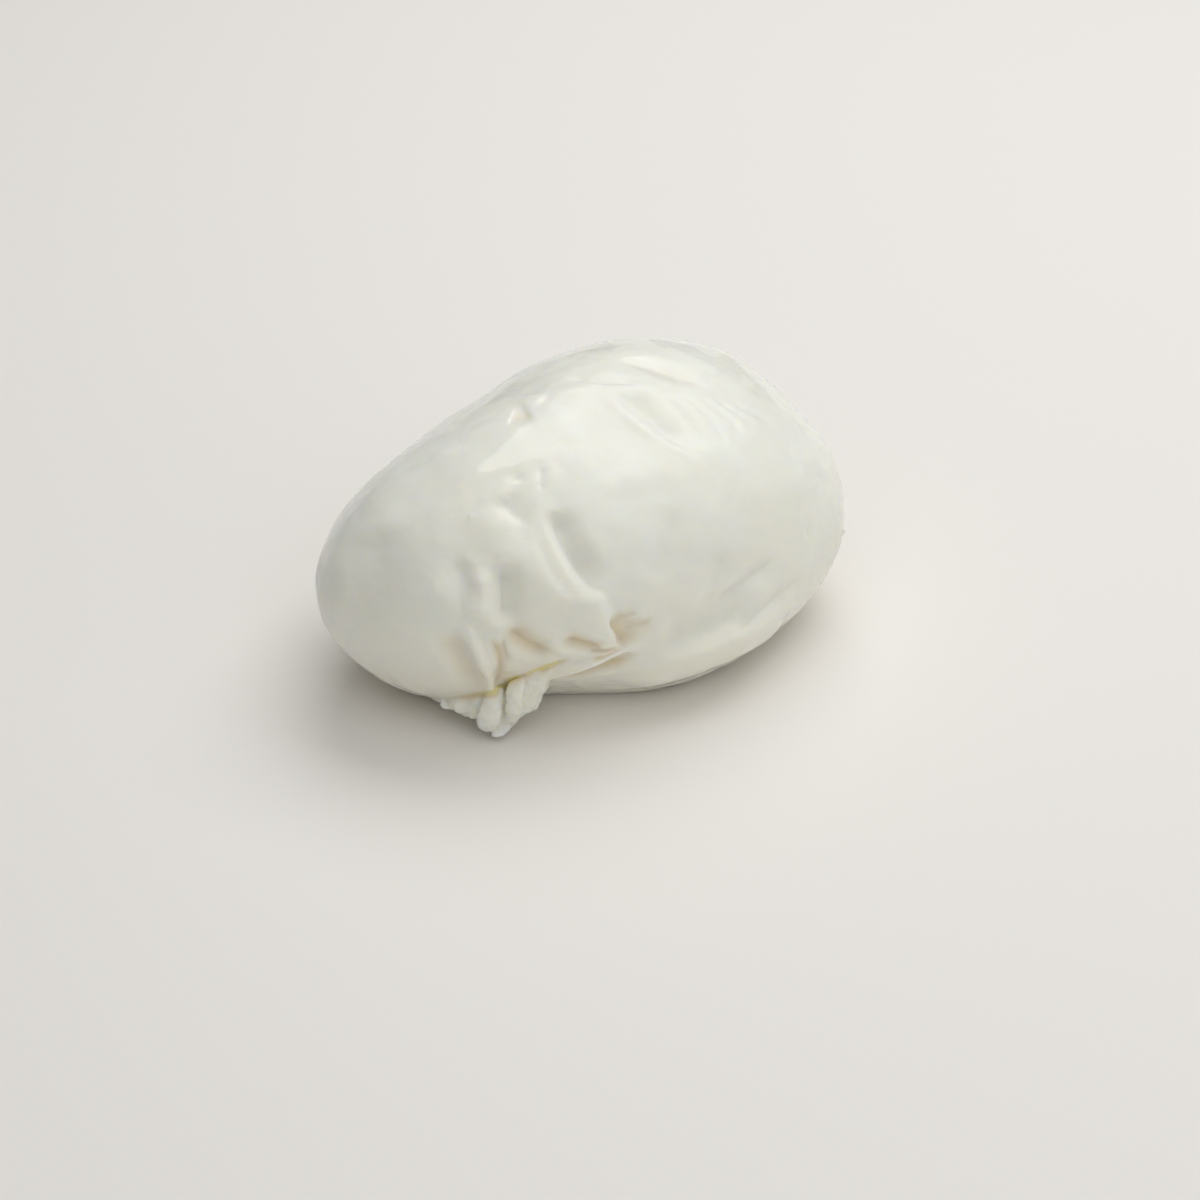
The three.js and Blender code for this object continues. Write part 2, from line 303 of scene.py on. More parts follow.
@dataclass(frozen=True)
class Fold:
    """A crest or valley in the skin, along a bend through three places.

    A place is a turn away from the knot and a bearing clockwise round it from straight up,
    both in degrees.

    Attributes:
        start: The first place.
        over: The place halfway.
        end: The last place.
        rise: Height of the crest, below zero for a valley.
        left: Width from the crest to the foot on the left of the way from start to end.
        right: Width on its right.
        profile: Shape across the width.
        tint: How far the skin takes the tint along it: up to half, the darker crease colour as
            painted shade, then whey's yellow; above 1, the yellow line is wider.
    """

    start: Bearing
    over: Bearing
    end: Bearing
    rise: float
    left: float
    right: float
    profile: Profile = Profile.ROUND
    tint: float = 0.0

    def places(self) -> tuple[Bearing, Bearing, Bearing]:
        """Gives its three places in their order."""
        return self.start, self.over, self.end

    @property
    def width(self) -> float:
        """The wider of its two sides."""
        return max(self.left, self.right)

    def sharp_reach(self) -> float:
        """Says how far from its crest the skin is split once."""
        return self.width * (SHARP_SPLIT if self.profile is Profile.SHARP else ROUND_SPLIT)

    def fine_reach(self) -> float:
        """Says how far from its crest the skin is split twice."""
        return self.width * FINE_SPLIT if self.width < FINE_WIDTH else 0


SAGS = (
    Sag(at=(0.024, 0.017, 0.046), by=(0.0014, 0.0018, 0.0038), reach=0.040),
    Sag(at=(-0.030, 0.022, 0.038), by=(0.0009, -0.0018, -0.0016), reach=0.042),
    Sag(at=(0.042, -0.020, 0.012), by=(0.0022, -0.0026, -0.0007), reach=0.034),
    Sag(at=(-0.022, -0.024, 0.004), by=(0.0016, 0.0036, 0.0008), reach=0.024),
    Sag(at=(0.016, -0.030, 0.006), by=(0.0004, -0.0035, -0.0007), reach=0.030),
    Sag(at=(0.040, 0.020, 0.034), by=(0.0013, 0.0013, 0.0011), reach=0.030),
)

ROUND, SHARP = Profile.ROUND, Profile.SHARP

# A fold's tint paints shade into it in the crease colour. Where the tint is above half, it gives
# whey's yellow.
FOLDS = {
    # The front, from the right down to the knot.
    "great_crease": Fold((80, 8), (67, 16), (53, 30), -0.0021, 0.0058, 0.0024, SHARP),
    "great_crest": Fold((72, 6), (60, 12), (48, 26), 0.0008, 0.0024, 0.0080),
    "flap_edge": Fold((56, 28), (48, 34), (39, 54), 0.0010, 0.0030, 0.0080),
    "saddle": Fold((84, -5), (78, 0), (74, 6), -0.0008, 0.0060, 0.0050, SHARP),
    "saddle_crest": Fold((82, -8), (74, -1), (69, 8), 0.0003, 0.0040, 0.0070),
    "upright_crease": Fold((63, 1), (52, 4), (40, 7), -0.0022, 0.0050, 0.0025, SHARP),
    "upright_crest": Fold((62, -4), (52, -2), (42, 0), 0.0009, 0.0024, 0.0040),
    "slant_crease": Fold((64, -13), (57, -7), (46, 0), -0.0006, 0.0036, 0.0050),
    "slant_crest": Fold((62, -17), (53, -10), (44, -3), 0.0003, 0.0040, 0.0080),
    "first_cross_crease": Fold((42, 7), (35, 17), (29, 33), -0.0019, 0.0042, 0.0032, SHARP, 0.6),
    "second_cross_crease": Fold((38, 28), (36, 39), (35, 50), -0.0014, 0.0034, 0.0022, SHARP, 0.6),
    "cross_crest": Fold((37, 24), (34, 30), (31, 41), 0.0004, 0.0016, 0.0020),
    # Round the knot.
    "neck_pleat": Fold((44, -8), (26, 1), (-4, 10), 0.0011, 0.0015, 0.0030),
    "neck_hollow": Fold((42, -13), (27, -10), (8, -12), -0.0012, 0.0036, 0.0046, ROUND, 0.25),
    "pleat_crease": Fold((38, 2), (25, 9), (2, 16), -0.0010, 0.0026, 0.0014, SHARP, 0.6),
    "neck_crease": Fold((38, 8), (32, 9), (24, 14), -0.0006, 0.0018, 0.0013, SHARP, 0.3),
    "ledge_groove": Fold((4, 18), (17, 34), (31, 42), -0.0007, 0.0017, 0.0010, SHARP, 1.5),
    "ledge": Fold((9, 44), (23, 49), (38, 55), 0.0013, 0.0018, 0.0028),
    "under_ledge": Fold((14, 68), (25, 65), (37, 66), -0.0013, 0.0026, 0.0026, SHARP, 0.65),
    "pocket": Fold((48, 37), (42, 47), (37, 57), -0.0017, 0.0056, 0.0014, SHARP, 0.6),
    "pocket_roof": Fold((44, 46), (46, 49), (50, 52), -0.0004, 0.0014, 0.0044, SHARP, 0.3),
    # The foot and the right flank.
    "foot_roll": Fold((24, 92), (44, 85), (74, 94), 0.0019, 0.0070, 0.0090),
    "foot_step": Fold((43, 62), (51, 71), (66, 76), -0.0020, 0.0070, 0.0045),
    "foot_wave": Fold((22, 100), (27, 105), (35, 95), -0.0004, 0.0012, 0.0012, SHARP),
    "low_flank_crease": Fold((76, 86), (62, 81), (54, 82), -0.0010, 0.0034, 0.0026, SHARP),
    "high_flank_crease": Fold((76, 71), (66, 68), (57, 70), -0.0011, 0.0038, 0.0028, SHARP),
    "flank_line": Fold((84, 34), (71, 39), (54, 47), -0.0008, 0.0070, 0.0050, SHARP),
    "flank_crease": Fold((74, 53), (64, 59), (53, 66), -0.0010, 0.0060, 0.0045, SHARP),
    "flank_nick": Fold((89, 75), (86, 76), (84, 77), -0.0003, 0.0012, 0.0012, SHARP),
    # The crown.
    "crown_crease": Fold((137, 2), (131, 18), (125, 36), -0.0006, 0.0060, 0.0044, SHARP, 0.08),
    "middle_crown_crease": Fold((129, -10), (125, 4), (123, 16), -0.0004, 0.0030, 0.0015, SHARP),
    "crown_edge": Fold((120, 10), (112, 20), (101, 32), -0.0007, 0.0055, 0.0026, SHARP),
    "crown_lip": Fold((121, 7), (108, 20), (97, 39), 0.0003, 0.0014, 0.0022),
    "crown_ridge": Fold((121, -13), (122, 8), (119, 30), 0.0003, 0.0034, 0.0030),
    "dimple": Fold((113, -15), (113, -12), (114, -9), -0.0005, 0.0030, 0.0032, ROUND, 0.2),
    "dimple_rim": Fold((117, -15), (119, -12), (118, -8), 0.0004, 0.0034, 0.0028),
    "first_nick": Fold((93, 2), (89, 3), (84, 5), -0.0003, 0.0016, 0.0014, SHARP),
    "second_nick": Fold((92, -5), (90, -3), (87, -1), -0.0003, 0.0022, 0.0020),
    # The left.
    "left_hollow": Fold((80, -39), (63, -35), (47, -30), -0.0009, 0.0100, 0.0100),
    "first_pimple": Fold((77, -10), (77, -9.5), (77, -9), 0.0004, 0.0008, 0.0008),
    "second_pimple": Fold((93, 95), (93, 96), (93, 97), 0.0006, 0.0010, 0.0010),
}


@dataclass(frozen=True)
class Fan:
    """Fine wrinkles that lie side by side.

    Attributes:
        first: The first wrinkle.
        last: The three places of the last wrinkle.
        count: How many there are.
    """

    first: Fold
    last: tuple[Bearing, Bearing, Bearing]
    count: int

    def folds(self) -> list[Fold]:
        """Spreads the wrinkles evenly from the first to the last.

        Returns:
            The wrinkles.
        """
        found = []
        for number in range(self.count):
            share = number / (self.count - 1)
            places = []
            for one, other in zip(self.first.places(), self.last):
                places.append(tuple(a + (b - a) * share for a, b in zip(one, other)))
            found.append(replace(self.first, start=places[0], over=places[1], end=places[2]))
        return found


FANS = {
    "crown_wrinkles": Fan(
        first=Fold((121, 22), (112, 31), (102, 37), -0.0002, 0.0016, 0.0012, SHARP),
        last=((122, 40), (119, 48), (117, 56)),
        count=5,
    ),
    "ledge_end_wrinkles": Fan(
        first=Fold((33, 44), (35, 49), (38, 55), -0.0004, 0.0010, 0.0008, SHARP, 0.5),
        last=((31, 48), (34, 52), (38, 56)),
        count=2,
    ),
    "under_ledge_wrinkles": Fan(
        first=Fold((24, 57), (31, 59), (38, 62), -0.0005, 0.0012, 0.0011, SHARP, 0.4),
        last=((20, 63), (29, 63), (39, 65)),
        count=3,
    ),
    "pocket_wrinkles": Fan(
        first=Fold((46, 41), (48, 44), (50, 45), -0.0003, 0.0012, 0.0010, SHARP, 0.25),
        last=((43, 48), (45, 50), (48, 52)),
        count=3,
    ),
}


def every_fold() -> list[Fold]:
    """Lists the folds one by one, with the wrinkles of every fan after them."""
    return [*FOLDS.values(), *(fold for fan in FANS.values() for fold in fan.folds())]


@dataclass
class Sack:
    """The curd-filled sack: an ovoid that sags, folds and settles on the table.

    Attributes:
        shares: Size of the plain ovoid along each axis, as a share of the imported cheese's.
        settled: How much of its height the resting face takes away.
        middle: The ovoid's middle, seen from above.
        knot_azimuth: Where the knot sits, in degrees from +X.
        knot_elevation: And in degrees above the level.
        splits: How often the ball's triangles are split in four.
        fewest_steps: Steps along the shortest fold.
        fold_step: Steps along a longer one, as a share of its narrower side.
        fold_fade: Share of a fold's length over which each end dies away.
        lumps: Patterns of unevenness, as the length of the lumps and how far they move it.
    """

    shares: Vector = field(default_factory=lambda: Vector((0.9973, 0.9717, 1.1267)))
    settled: float = 0.008
    middle: Vector = field(default_factory=lambda: Vector((-0.0002, 0.0011, 0)))
    knot_azimuth: float = -131
    knot_elevation: float = -31
    splits: int = 7
    fewest_steps: int = 8
    fold_step: float = 0.3
    fold_fade: float = 0.3
    lumps: tuple[tuple[float, float], ...] = ((0.014, 0.0010), (0.005, 0.00030), (0.003, 0.00006))

    @property
    def half_sizes(self) -> Vector:
        """Half sizes of the plain ovoid."""
        return CAD_SIZE * self.shares / 2

    @property
    def centre(self) -> Vector:
        """Middle of the plain ovoid."""
        return Vector((0, 0, self.half_sizes.z - self.settled))

    def knot_axes(self) -> tuple[Vector, Vector, Vector]:
        """Works out the axes of the places on the skin.

        Returns:
            The directions out of the knot, up and to the right, on the unit sphere.
        """
        azimuth = math.radians(self.knot_azimuth)
        elevation = math.radians(self.knot_elevation)
        level = math.cos(elevation)
        out = Vector((level * math.cos(azimuth), level * math.sin(azimuth), math.sin(elevation)))
        up = (Vector((0, 0, 1)) - out * out.z).normalized()
        return out, up, up.cross(out)

    def direction(self, place: Bearing) -> Vector:
        """Turns a turn and a bearing into a direction on the unit sphere.

        Args:
            place: The turn away from the knot and the bearing round it, in degrees.

        Returns:
            The unit direction.
        """
        out, up, right = self.knot_axes()
        turn, bearing = (math.radians(angle) for angle in place)
        across = up * math.cos(bearing) + right * math.sin(bearing)
        return out * math.cos(turn) + across * math.sin(turn)

    def sagged(self, direction: Vector) -> Vector:
        """Finds where a direction of the unit sphere lies on the sagged ovoid.

        Args:
            direction: The unit direction.

        Returns:
            The place, from the ovoid's middle on the table.
        """
        place = direction * self.half_sizes + self.centre
        for sag in SAGS:
            place += Vector(sag.by) * ease((place - Vector(sag.at)).length / sag.reach)
        return place

    def outward(self, direction: Vector) -> Vector:
        """Gives the plain ovoid's normal in a direction of the unit sphere."""
        x, y, z = (direction[axis] / self.half_sizes[axis] for axis in range(3))
        return Vector((x, y, z)).normalized()

    def crest(self, fold: Fold) -> Crest:
        """Lays out the crest of a fold on the sagged ovoid.

        Args:
            fold: The fold.

        Returns:
            Places along its crest, from the ovoid's middle on the table, and the skin's
            direction to the right of the way there.
        """
        start, over, end = (self.direction(place) for place in (fold.start, fold.over, fold.end))
        corner = over * 2 - (start + end) / 2
        length = (self.sagged(end) - self.sagged(start)).length
        step_length = self.fold_step * min(fold.left, fold.right)
        steps = max(self.fewest_steps, math.ceil(length / step_length))
        directions = []
        for step in range(steps + 1):
            t = step / steps
            bend = start * (1 - t) ** 2 + corner * 2 * t * (1 - t) + end * t * t
            directions.append(bend.normalized())
        places = [self.sagged(direction) for direction in directions]
        crest = []
        for step, place in enumerate(places):
            ahead = places[min(step + 1, steps)] - places[max(step - 1, 0)]
            crest.append((place, ahead.cross(self.outward(directions[step])).normalized()))
        return crest

    def fade(self, share: float) -> float:
        """Says how much of a fold is left at a share (0 to 1) of its length."""
        return ease(1 - min(min(share, 1 - share) / self.fold_fade, 1))

    def foot_on(self, crest: Crest, step: int, place: Vector) -> tuple[Vector, float, Vector]:
        """Drops a place onto a crest.

        Args:
            crest: The crest's places and the directions to their right.
            step: Index of the crest's place that is nearest.
            place: The place to drop.

        Returns:
            The nearest point of the crest, its share (0 to 1) of the way along it, and the
            direction to its right.
        """
        feet = []
        for first in (max(step - 1, 0), min(step, len(crest) - 2)):
            (start, right), (end, end_right) = crest[first], crest[first + 1]
            t = min(max(intersect_point_line(place, start, end)[1], 0), 1)
            foot = start.lerp(end, t)
            share = (first + t) / (len(crest) - 1)
            feet.append(((place - foot).length, share, foot, right.lerp(end_right, t)))
        _, share, foot, right = min(feet, key=lambda found: found[0])
        return foot, share, right

    def weights(self, fold: Fold, places: list[Vector], tree: KDTree) -> dict[int, float]:
        """Weighs the vertices that a fold moves.

        Args:
            fold: The fold.
            places: The sack's vertices, before any fold.
            tree: The same, sorted by place.

        Returns:
            Weights from 0 to 1 by vertex index.
        """
        nearest: dict[int, tuple[float, int]] = {}
        crest = self.crest(fold)
        for step, (place, _) in enumerate(crest):
            for _, index, distance in tree.find_range(place, fold.width * SEARCH_MARGIN):
                if index not in nearest or distance < nearest[index][0]:
                    nearest[index] = (distance, step)
        found: dict[int, float] = {}
        for index, (_, step) in nearest.items():
            foot, share, right = self.foot_on(crest, step, places[index])
            aside = places[index] - foot
            side = fold.right if aside.dot(right) > 0 else fold.left
            height = fold.profile.weight(min(aside.length / side, 1))
            found[index] = height * self.fade(share)
        return found

    def start_ball(self) -> bpy.types.Object:
        """Adds the ball that the sack is made from and stretches it to the plain ovoid.

        Returns:
            The plain ovoid, as a new object.
        """
        bpy.ops.object.select_all(action="DESELECT")
        bpy.ops.mesh.primitive_ico_sphere_add(subdivisions=self.splits, radius=1)
        ball = bpy.context.active_object
        with editing(ball):
            bpy.ops.mesh.select_all(action="SELECT")
            bpy.ops.transform.resize(value=self.half_sizes, center_override=(0, 0, 0))
            bpy.ops.transform.translate(value=self.centre)
        return ball

    def sag(self, piece: bpy.types.Object) -> None:
        """Pulls and presses the ovoid into its settled form.

        Args:
            piece: The plain ovoid.
        """
        for sag in SAGS:
            choose_vertices(piece, {nearest_vertex(piece, Vector(sag.at))})
            with editing(piece):
                bpy.ops.transform.translate(
                    value=sag.by,
                    use_proportional_edit=True,
                    proportional_edit_falloff="SMOOTH",
                    proportional_size=sag.reach,
                )

    def refine(self, piece: bpy.types.Object) -> None:
        """Splits the skin's triangles where folds come, and again where these are fine.

        Args:
            piece: The sagged ovoid.
        """
        for reach in (Fold.sharp_reach, Fold.fine_reach):
            tree = vertex_tree(piece)
            near: set[int] = set()
            for fold in every_fold():
                for place, _ in self.crest(fold):
                    near.update(found[1] for found in tree.find_range(place, reach(fold)))
            choose_vertices(piece, near)
            with editing(piece):
                bpy.ops.mesh.subdivide(number_cuts=1)

    def crease(self, piece: bpy.types.Object) -> None:
        """Raises and sinks every fold along the skin's normal.

        Args:
            piece: The sagged ovoid.
        """
        places = [vertex.co.copy() for vertex in piece.data.vertices]
        tree = tree_of(places)
        # Each vertex keeps its strongest fold tint: painted shade, with whey's yellow where the
        # tint is high.
        tint = [0.0] * len(places)
        for fold in every_fold():
            weights = self.weights(fold, places, tree)
            push(piece, fold.rise, weights)
            for index, weight in weights.items():
                tint[index] = max(tint[index], weight * fold.tint)
        layer = piece.data.attributes.new(WHEY_AND_SHADE_TINT, "FLOAT", "POINT")
        layer.data.foreach_set("value", tint)

    def roughen(self, piece: bpy.types.Object) -> None:
        """Gives the skin its slight unevenness.

        Args:
            piece: The creased sack.
        """
        for number, (size, rise) in enumerate(self.lumps, start=1):
            push(piece, rise, texture=clouds(f"lumps_{number}", size))

    def build(self) -> bpy.types.Object:
        """Models the whole sack.

        Returns:
            The closed sack, over the ovoid's middle.
        """
        piece = self.start_ball()
        self.sag(piece)
        self.refine(piece)
        self.crease(piece)
        self.roughen(piece)
        cut_flat(piece, 0)
        return piece


# ---- The tuft -------------------------------------------------------------------------------


TIP_START = 0.7  # share of a petal's length at which its tip starts


@dataclass(frozen=True)
class Petal:
    """A torn scrap of the gathered skin, spread between four corners.

    Attributes:
        left_root: The root's left corner, seen from outside, from the ovoid's middle on the
            table.
        right_root: The root's right corner.
        left_tip: The tip's left corner.
        right_tip: The tip's right corner.
        bulge: How far its middle stands out of the plane of the corners.
        thickness: Through its face.
        belly: How much wider its middle is than its ends are on average, as a share.
        ruffle: How far its face swings to and fro on its way to the tip.
        waves: How many swings it makes.
        rounding: How round its tip is, from 0 for torn off to almost 1.
    """

    left_root: Triple
    right_root: Triple
    left_tip: Triple
    right_tip: Triple
    bulge: float
    thickness: float
    belly: float = 0.1
    ruffle: float = 0.0
    waves: float = 1.5
    rounding: float = 0.0

    def ring(self, t: float) -> tuple[Vector, Matrix, Vector]:
        """Works out one ring of the petal's skin.

        Args:
            t: Share (0 to 1) of the way from the root to the tip.

        Returns:
            The ring's middle, its axes as columns (across the face, out of the face and
            along the petal), and its half sizes along them.
        """
        left = Vector(self.left_root).lerp(Vector(self.left_tip), t)
        right = Vector(self.right_root).lerp(Vector(self.right_tip), t)
        way = Vector(self.left_tip) + Vector(self.right_tip)
        way -= Vector(self.left_root) + Vector(self.right_root)
        across = (right - left).normalized()
        face = way.cross(across).normalized()
        hump = 4 * t * (1 - t)
        lean = way / 2 + face * self.bulge * 4 * (1 - 2 * t)
        out = lean.cross(across).normalized()
        swing = self.ruffle * t * math.sin(math.tau * self.waves * t)
        middle = (left + right) / 2 + face * (self.bulge * hump + swing)
        axes = Matrix((across, out, across.cross(out))).transposed()
        tip_share = max(0, (t - TIP_START) / (1 - TIP_START))
        round_off = math.sqrt(1 - self.rounding * tip_share * tip_share)
        width = (right - left).length * (1 + self.belly * hump)
        return middle, axes, Vector((width / 2, self.thickness / 2, 1)) * round_off


PETALS = {
    "neck": Petal(
        left_root=(-0.0260, -0.0140, 0.0080), right_root=(-0.0220, -0.0200, 0.0095),
        left_tip=(-0.0332, -0.0207, 0.0078), right_tip=(-0.0292, -0.0240, 0.0086),
        bulge=0.0005, thickness=0.0062,
    ),
    "left_petal": Petal(
        left_root=(-0.0317, -0.0215, 0.0102), right_root=(-0.0340, -0.0218, 0.0050),
        left_tip=(-0.0386, -0.0148, 0.0062), right_tip=(-0.0383, -0.0166, 0.0046),
        bulge=0.0006, thickness=0.0018, belly=0.15, ruffle=0.0009, waves=2.1,
    ),
    "left_scrap": Petal(
        left_root=(-0.0331, -0.0213, 0.0064), right_root=(-0.0342, -0.0218, 0.0042),
        left_tip=(-0.0369, -0.0176, 0.0050), right_tip=(-0.0357, -0.0197, 0.0037),
        bulge=0.0004, thickness=0.0013, belly=0.2, ruffle=0.0004, waves=1.0,
    ),
    "tongue": Petal(
        left_root=(-0.0328, -0.0222, 0.0106), right_root=(-0.0298, -0.0238, 0.0110),
        left_tip=(-0.0358, -0.0222, 0.0028), right_tip=(-0.0318, -0.0241, 0.0018),
        bulge=0.0012, thickness=0.0030, belly=0.08, rounding=0.75,
    ),
    "channel": Petal(
        left_root=(-0.0309, -0.0228, 0.0094), right_root=(-0.0284, -0.0245, 0.0104),
        left_tip=(-0.0322, -0.0228, 0.0018), right_tip=(-0.0285, -0.0239, 0.0026),
        bulge=0.0004, thickness=0.0020, ruffle=0.0003,
    ),
    "right_petal": Petal(
        left_root=(-0.0281, -0.0239, 0.0133), right_root=(-0.0212, -0.0291, 0.0174),
        left_tip=(-0.0291, -0.0239, 0.0038), right_tip=(-0.0259, -0.0246, 0.0042),
        bulge=0.0016, thickness=0.0022, ruffle=0.0003, waves=1.6,
    ),
    "inner_petal": Petal(
        left_root=(-0.0294, -0.0245, 0.0122), right_root=(-0.0268, -0.0266, 0.0142),
        left_tip=(-0.0297, -0.0238, 0.0036), right_tip=(-0.0274, -0.0249, 0.0041),
        bulge=0.0022, thickness=0.0022, ruffle=0.0004, waves=1.3, rounding=0.4,
    ),
    "far_scrap": Petal(
        left_root=(-0.0246, -0.0266, 0.0142), right_root=(-0.0210, -0.0284, 0.0158),
        left_tip=(-0.0260, -0.0238, 0.0040), right_tip=(-0.0239, -0.0252, 0.0048),
        bulge=0.0006, thickness=0.0014, belly=0.15, ruffle=0.0005, waves=1.4,
    ),
    "lower_petal": Petal(
        left_root=(-0.0310, -0.0226, 0.0044), right_root=(-0.0266, -0.0234, 0.0046),
        left_tip=(-0.0332, -0.0245, 0.0013), right_tip=(-0.0298, -0.0249, 0.0013),
        bulge=0.0006, thickness=0.0014, ruffle=0.0005, waves=1.2,
    ),
    "back_flap": Petal(
        left_root=(-0.0350, -0.0142, 0.0062), right_root=(-0.0358, -0.0160, 0.0044),
        left_tip=(-0.0392, -0.0096, 0.0043), right_tip=(-0.0388, -0.0128, 0.0034),
        bulge=0.0004, thickness=0.0010, ruffle=0.0003, waves=1.0,
    ),
}


@dataclass
class Tuft:
    """The torn ends of the gathered skin that stick out of the knot.

    Attributes:
        rings: Rings of vertices along a petal.
        sides: Vertices in a ring.
        grain: Size of the triangles after the petals have grown together.
        soften: How often the grown mesh is evened out.
        lumps: Patterns of unevenness, as the length of the lumps and how far they move it.
        clearance: Height above the table that it stays clear of.
    """

    rings: int = 9
    sides: int = 18
    grain: float = 0.00024
    soften: int = 3
    lumps: tuple[tuple[float, float], ...] = ((0.0036, 0.0009), (0.0017, 0.0007), (0.0008, 0.00022))
    clearance: float = 0.0002

    def petal(self, name: str, shape: Petal) -> bpy.types.Object:
        """Models one petal from rings that are bridged and closed at both ends.

        Args:
            name: The petal's name.
            shape: Its sizes and places.

        Returns:
            The closed petal.
        """
        bpy.ops.object.select_all(action="DESELECT")
        piece = bpy.data.objects.new(name, bpy.data.meshes.new(name))
        bpy.context.scene.collection.objects.link(piece)
        with editing(piece):
            for number in range(self.rings):
                middle, axes, half_sizes = shape.ring(number / (self.rings - 1))
                bpy.ops.mesh.select_all(action="DESELECT")
                bpy.ops.mesh.primitive_circle_add(
                    vertices=self.sides, radius=1, location=middle, rotation=axes.to_euler()
                )
                bpy.ops.transform.resize(
                    value=half_sizes,
                    orient_type="GLOBAL",
                    orient_matrix=axes,
                    orient_matrix_type="GLOBAL",
                    center_override=middle,
                )
            bpy.ops.mesh.select_all(action="SELECT")
            bpy.ops.mesh.bridge_edge_loops()
            bpy.ops.mesh.select_all(action="SELECT")
            bpy.ops.mesh.fill_holes(sides=0)
            bpy.ops.mesh.normals_make_consistent(inside=False)
        return piece

    def build(self) -> bpy.types.Object:
        """Models all the petals and lets them grow together.

        Returns:
            The closed tuft, over the ovoid's middle.
        """
        petals = [self.petal(name, shape) for name, shape in PETALS.items()]
        take(petals[0])
        for piece in petals:
            piece.select_set(True)
        bpy.ops.object.join()
        tuft = bpy.context.active_object
        tuft.data.remesh_voxel_size = self.grain
        bpy.ops.object.voxel_remesh()
        with editing(tuft):
            bpy.ops.mesh.select_all(action="SELECT")
            bpy.ops.mesh.vertices_smooth(factor=EVENING, repeat=self.soften)
        for number, (size, rise) in enumerate(self.lumps, start=1):
            push(tuft, rise, texture=clouds(f"torn_{number}", size))
        cut_flat(tuft, self.clearance)
        return tuft


# ---- Finishes -------------------------------------------------------------------------------


@dataclass(frozen=True)
class Unevenness:
    """A soft random pattern that the finish varies with.

    Attributes:
        across: Length of its patches.
        low: The value in the low patches.
        high: The value in the high patches.
        blur: How gently one goes over into the other, from 0 for a hard edge.
        detail: How ragged the patches are.
    """

    across: float
    low: float
    high: float
    blur: float = 0.4
    detail: float = 3

    def add(self, tree: bpy.types.NodeTree, place: bpy.types.NodeSocket) -> bpy.types.NodeSocket:
        """Adds the pattern's nodes to a material.

        Args:
            tree: The material's nodes.
            place: The socket that gives the place on the piece.

        Returns:
            The socket that gives the value, from low to high.
        """
        noise = tree.nodes.new("ShaderNodeTexNoise")
        noise.inputs["Scale"].default_value = 1 / self.across
        noise.inputs["Detail"].default_value = self.detail
        tree.links.new(place, noise.inputs["Vector"])
        spread = tree.nodes.new("ShaderNodeMapRange")
        spread.inputs["From Min"].default_value = NOISE_MIDDLE - self.blur / 2
        spread.inputs["From Max"].default_value = NOISE_MIDDLE + self.blur / 2
        spread.inputs["To Min"].default_value = self.low
        spread.inputs["To Max"].default_value = self.high
        tree.links.new(noise.outputs["Fac"], spread.inputs["Value"])
        return spread.outputs["Result"]


